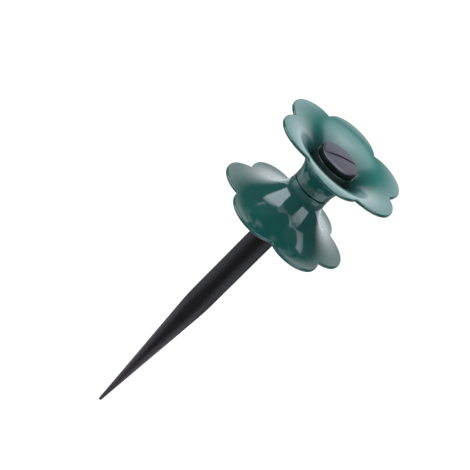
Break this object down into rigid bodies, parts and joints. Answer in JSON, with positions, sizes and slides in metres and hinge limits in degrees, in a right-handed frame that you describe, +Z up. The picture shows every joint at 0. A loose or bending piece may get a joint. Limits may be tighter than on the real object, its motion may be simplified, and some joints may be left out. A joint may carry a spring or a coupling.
{
  "type": "hose guide stake",
  "caption": "Ground stake with a free-turning roller of flared petal flowers that guides a garden hose round the corner of a bed.",
  "frame": {"origin": "on the stake's axis at the ground line, when the spike and most of the shank are in the soil", "axes": "+Z up along the stake from the ground line to the cap; +X and +Y level"},
  "size_m": [0.0896, 0.0896, 0.25],
  "materials": {
    "stake_black": "satin, fine moulded texture",
    "flower_green": "high gloss",
    "cap_black": "satin"
  },
  "bodies": {
    "stake": {"stake": "stake_black", "screw_cap": "cap_black"},
    "roller": {"lower_flower": "flower_green", "upper_flower": "flower_green"}
  },
  "joints": [
    {"name": "roller_spin", "type": "hinge", "parent": "stake", "child": "roller", "pos_m": [0, 0, 0.0421], "axis": [0, 0, 1], "continuous": true}
  ]
}
